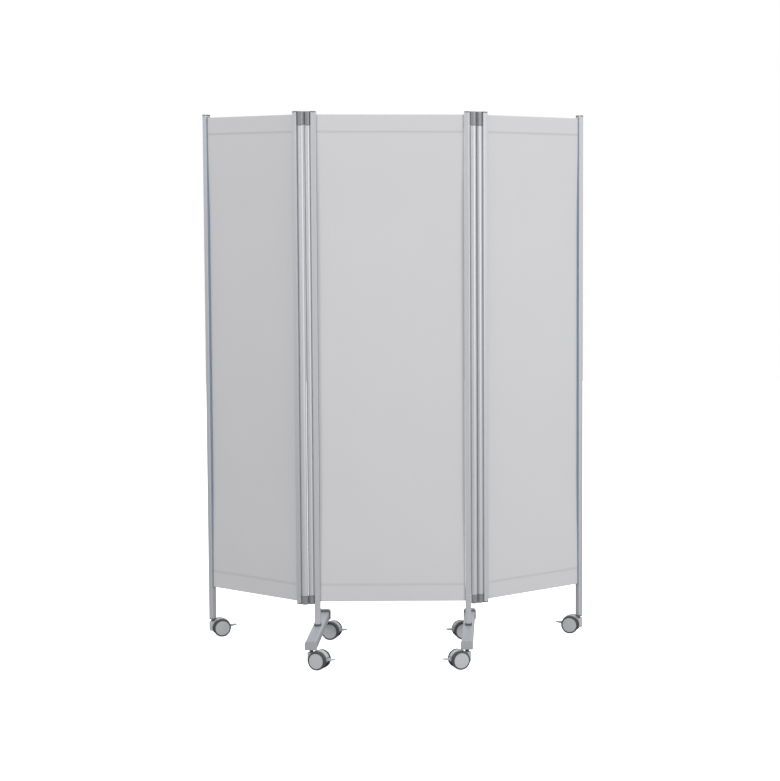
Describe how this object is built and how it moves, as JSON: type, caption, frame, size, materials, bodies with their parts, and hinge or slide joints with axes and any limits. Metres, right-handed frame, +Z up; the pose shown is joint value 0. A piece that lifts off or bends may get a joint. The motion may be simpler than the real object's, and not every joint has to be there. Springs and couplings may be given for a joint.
{
  "type": "folding ward screen",
  "caption": "Folding privacy screen of framed cloth panels on braked twin-wheel casters; the wings turn on double-axis hinges and the middle panel stands on cross feet.",
  "frame": {"origin": "at floor level, midway between the feet and within 5 mm of the centre of the bounding box", "axes": "+Z up, +X along the middle panel to the viewer's right, +Y away from the viewer, towards the side that the wings are folded to"},
  "size_m": [1.1909, 0.532, 1.65],
  "materials": {
    "aluminium": "satin anodised",
    "foot_tube": "silver-grey powder coat",
    "rail": "mill finish",
    "sheet": "vinyl-coated cloth, matt",
    "hinge_plastic": "dark grey moulded nylon",
    "dark_plastic": "dark grey moulded plastic",
    "cap_plastic": "grey moulded plastic",
    "caster_plastic": "light grey moulded nylon",
    "wheel": "dark grey tread",
    "steel": "zinc plated"
  },
  "bodies": {
    "middle_panel": {"middle_sheet": "sheet", "middle_head_rail": "rail", "middle_foot_rail": "rail", "middle_left_post": "aluminium", "left_foot_collar": "dark_plastic", "left_foot_bar": "foot_tube", "left_foot_rear_cap": "cap_plastic", "left_foot_front_cap": "cap_plastic", "middle_right_post": "aluminium", "right_foot_collar": "dark_plastic", "right_foot_bar": "foot_tube", "right_foot_rear_cap": "cap_plastic", "right_foot_front_cap": "cap_plastic"},
    "left_hinge_link": {"left_head_hinge_block": "hinge_plastic", "left_foot_hinge_block": "hinge_plastic"},
    "left_wing": {"left_wing_inner_post": "aluminium", "left_wing_outer_post": "aluminium", "left_wing_sheet": "sheet", "left_wing_head_rail": "rail", "left_wing_foot_rail": "rail", "left_wing_foot_plug": "dark_plastic"},
    "right_hinge_link": {"right_head_hinge_block": "hinge_plastic", "right_foot_hinge_block": "hinge_plastic"},
    "right_wing": {"right_wing_inner_post": "aluminium", "right_wing_outer_post": "aluminium", "right_wing_sheet": "sheet", "right_wing_head_rail": "rail", "right_wing_foot_rail": "rail", "right_wing_foot_plug": "dark_plastic"},
    "front_left_caster": {"front_left_caster_housing": "caster_plastic", "front_left_caster_axle": "steel"},
    "front_left_wheel_a": {"front_left_wheel_a": "wheel"},
    "front_left_wheel_b": {"front_left_wheel_b": "wheel"},
    "front_left_brake_pedal": {"front_left_brake_pedal": "caster_plastic"},
    "rear_left_caster": {"rear_left_caster_housing": "caster_plastic", "rear_left_caster_axle": "steel"},
    "rear_left_wheel_a": {"rear_left_wheel_a": "wheel"},
    "rear_left_wheel_b": {"rear_left_wheel_b": "wheel"},
    "rear_left_brake_pedal": {"rear_left_brake_pedal": "caster_plastic"},
    "wing_left_caster": {"wing_left_caster_housing": "caster_plastic", "wing_left_caster_axle": "steel"},
    "wing_left_wheel_a": {"wing_left_wheel_a": "wheel"},
    "wing_left_wheel_b": {"wing_left_wheel_b": "wheel"},
    "wing_left_brake_pedal": {"wing_left_brake_pedal": "caster_plastic"},
    "front_right_caster": {"front_right_caster_housing": "caster_plastic", "front_right_caster_axle": "steel"},
    "front_right_wheel_a": {"front_right_wheel_a": "wheel"},
    "front_right_wheel_b": {"front_right_wheel_b": "wheel"},
    "front_right_brake_pedal": {"front_right_brake_pedal": "caster_plastic"},
    "rear_right_caster": {"rear_right_caster_housing": "caster_plastic", "rear_right_caster_axle": "steel"},
    "rear_right_wheel_a": {"rear_right_wheel_a": "wheel"},
    "rear_right_wheel_b": {"rear_right_wheel_b": "wheel"},
    "rear_right_brake_pedal": {"rear_right_brake_pedal": "caster_plastic"},
    "wing_right_caster": {"wing_right_caster_housing": "caster_plastic", "wing_right_caster_axle": "steel"},
    "wing_right_wheel_a": {"wing_right_wheel_a": "wheel"},
    "wing_right_wheel_b": {"wing_right_wheel_b": "wheel"},
    "wing_right_brake_pedal": {"wing_right_brake_pedal": "caster_plastic"}
  },
  "joints": [
    {"name": "left_inner_hinge_axis", "type": "hinge", "parent": "middle_panel", "child": "left_hinge_link", "pos_m": [-0.249, -0.028, 0.9], "axis": [0, 0, 1], "range_deg": [-110, 70]},
    {"name": "left_outer_hinge_axis", "type": "hinge", "parent": "left_hinge_link", "child": "left_wing", "pos_m": [-0.26779, -0.03484, 0.9], "axis": [0, 0, 1], "range_deg": [-33, 147]},
    {"name": "right_inner_hinge_axis", "type": "hinge", "parent": "middle_panel", "child": "right_hinge_link", "pos_m": [0.249, -0.028, 0.9], "axis": [0, 0, 1], "range_deg": [-120, 60]},
    {"name": "right_outer_hinge_axis", "type": "hinge", "parent": "right_hinge_link", "child": "right_wing", "pos_m": [0.26632, -0.018, 0.9], "axis": [0, 0, 1], "range_deg": [-98.5, 81.5]},
    {"name": "front_left_caster_swivel", "type": "hinge", "parent": "middle_panel", "child": "front_left_caster", "pos_m": [-0.2305, -0.223, 0.05], "axis": [0, 0, 1], "continuous": true},
    {"name": "front_left_wheel_a_spin", "type": "hinge", "parent": "front_left_caster", "child": "front_left_wheel_a", "pos_m": [-0.20623, -0.23232, 0.0275], "axis": [0.3584, 0.9336, 0], "continuous": true},
    {"name": "front_left_wheel_b_spin", "type": "hinge", "parent": "front_left_caster", "child": "front_left_wheel_b", "pos_m": [-0.20623, -0.23232, 0.0275], "axis": [0.3584, 0.9336, 0], "continuous": true},
    {"name": "front_left_brake_press", "type": "hinge", "parent": "front_left_caster", "child": "front_left_brake_pedal", "pos_m": [-0.18849, -0.23913, 0.029], "axis": [0.3584, 0.9336, 0], "range_deg": [0, 15]},
    {"name": "rear_left_caster_swivel", "type": "hinge", "parent": "middle_panel", "child": "rear_left_caster", "pos_m": [-0.2305, 0.167, 0.05], "axis": [0, 0, 1], "continuous": true},
    {"name": "rear_left_wheel_a_spin", "type": "hinge", "parent": "rear_left_caster", "child": "rear_left_wheel_a", "pos_m": [-0.20527, 0.16071, 0.0275], "axis": [0.2419, 0.9703, 0], "continuous": true},
    {"name": "rear_left_wheel_b_spin", "type": "hinge", "parent": "rear_left_caster", "child": "rear_left_wheel_b", "pos_m": [-0.20527, 0.16071, 0.0275], "axis": [0.2419, 0.9703, 0], "continuous": true},
    {"name": "rear_left_brake_press", "type": "hinge", "parent": "rear_left_caster", "child": "rear_left_brake_pedal", "pos_m": [-0.18684, 0.15611, 0.029], "axis": [0.2419, 0.9703, 0], "range_deg": [0, 15]},
    {"name": "wing_left_caster_swivel", "type": "hinge", "parent": "left_wing", "child": "wing_left_caster", "pos_m": [-0.58765, 0.20619, 0.05], "axis": [0, 0, 1], "continuous": true},
    {"name": "wing_left_wheel_a_spin", "type": "hinge", "parent": "wing_left_caster", "child": "wing_left_wheel_a", "pos_m": [-0.56337, 0.2155, 0.0275], "axis": [-0.3584, 0.9336, 0], "continuous": true},
    {"name": "wing_left_wheel_b_spin", "type": "hinge", "parent": "wing_left_caster", "child": "wing_left_wheel_b", "pos_m": [-0.56337, 0.2155, 0.0275], "axis": [-0.3584, 0.9336, 0], "continuous": true},
    {"name": "wing_left_brake_press", "type": "hinge", "parent": "wing_left_caster", "child": "wing_left_brake_pedal", "pos_m": [-0.54564, 0.22231, 0.029], "axis": [-0.3584, 0.9336, 0], "range_deg": [0, 15]},
    {"name": "front_right_caster_swivel", "type": "hinge", "parent": "middle_panel", "child": "front_right_caster", "pos_m": [0.2305, -0.223, 0.05], "axis": [0, 0, 1], "continuous": true},
    {"name": "front_right_wheel_a_spin", "type": "hinge", "parent": "front_right_caster", "child": "front_right_wheel_a", "pos_m": [0.20639, -0.23274, 0.0275], "axis": [0.3746, -0.9272, 0], "continuous": true},
    {"name": "front_right_wheel_b_spin", "type": "hinge", "parent": "front_right_caster", "child": "front_right_wheel_b", "pos_m": [0.20639, -0.23274, 0.0275], "axis": [0.3746, -0.9272, 0], "continuous": true},
    {"name": "front_right_brake_press", "type": "hinge", "parent": "front_right_caster", "child": "front_right_brake_pedal", "pos_m": [0.18878, -0.23986, 0.029], "axis": [0.3746, -0.9272, 0], "range_deg": [0, 15]},
    {"name": "rear_right_caster_swivel", "type": "hinge", "parent": "middle_panel", "child": "rear_right_caster", "pos_m": [0.2305, 0.167, 0.05], "axis": [0, 0, 1], "continuous": true},
    {"name": "rear_right_wheel_a_spin", "type": "hinge", "parent": "rear_right_caster", "child": "rear_right_wheel_a", "pos_m": [0.20551, 0.15983, 0.0275], "axis": [0.2756, -0.9613, 0], "continuous": true},
    {"name": "rear_right_wheel_b_spin", "type": "hinge", "parent": "rear_right_caster", "child": "rear_right_wheel_b", "pos_m": [0.20551, 0.15983, 0.0275], "axis": [0.2756, -0.9613, 0], "continuous": true},
    {"name": "rear_right_brake_press", "type": "hinge", "parent": "rear_right_caster", "child": "rear_right_brake_pedal", "pos_m": [0.18724, 0.1546, 0.029], "axis": [0.2756, -0.9613, 0], "range_deg": [0, 15]},
    {"name": "wing_right_caster_swivel", "type": "hinge", "parent": "right_wing", "child": "wing_right_caster", "pos_m": [0.57976, 0.23132, 0.05], "axis": [0, 0, 1], "continuous": true},
    {"name": "wing_right_wheel_a_spin", "type": "hinge", "parent": "wing_right_caster", "child": "wing_right_wheel_a", "pos_m": [0.55476, 0.23848, 0.0275], "axis": [-0.2756, -0.9613, 0], "continuous": true},
    {"name": "wing_right_wheel_b_spin", "type": "hinge", "parent": "wing_right_caster", "child": "wing_right_wheel_b", "pos_m": [0.55476, 0.23848, 0.0275], "axis": [-0.2756, -0.9613, 0], "continuous": true},
    {"name": "wing_right_brake_press", "type": "hinge", "parent": "wing_right_caster", "child": "wing_right_brake_pedal", "pos_m": [0.5365, 0.24372, 0.029], "axis": [-0.2756, -0.9613, 0], "range_deg": [0, 15]}
  ]
}
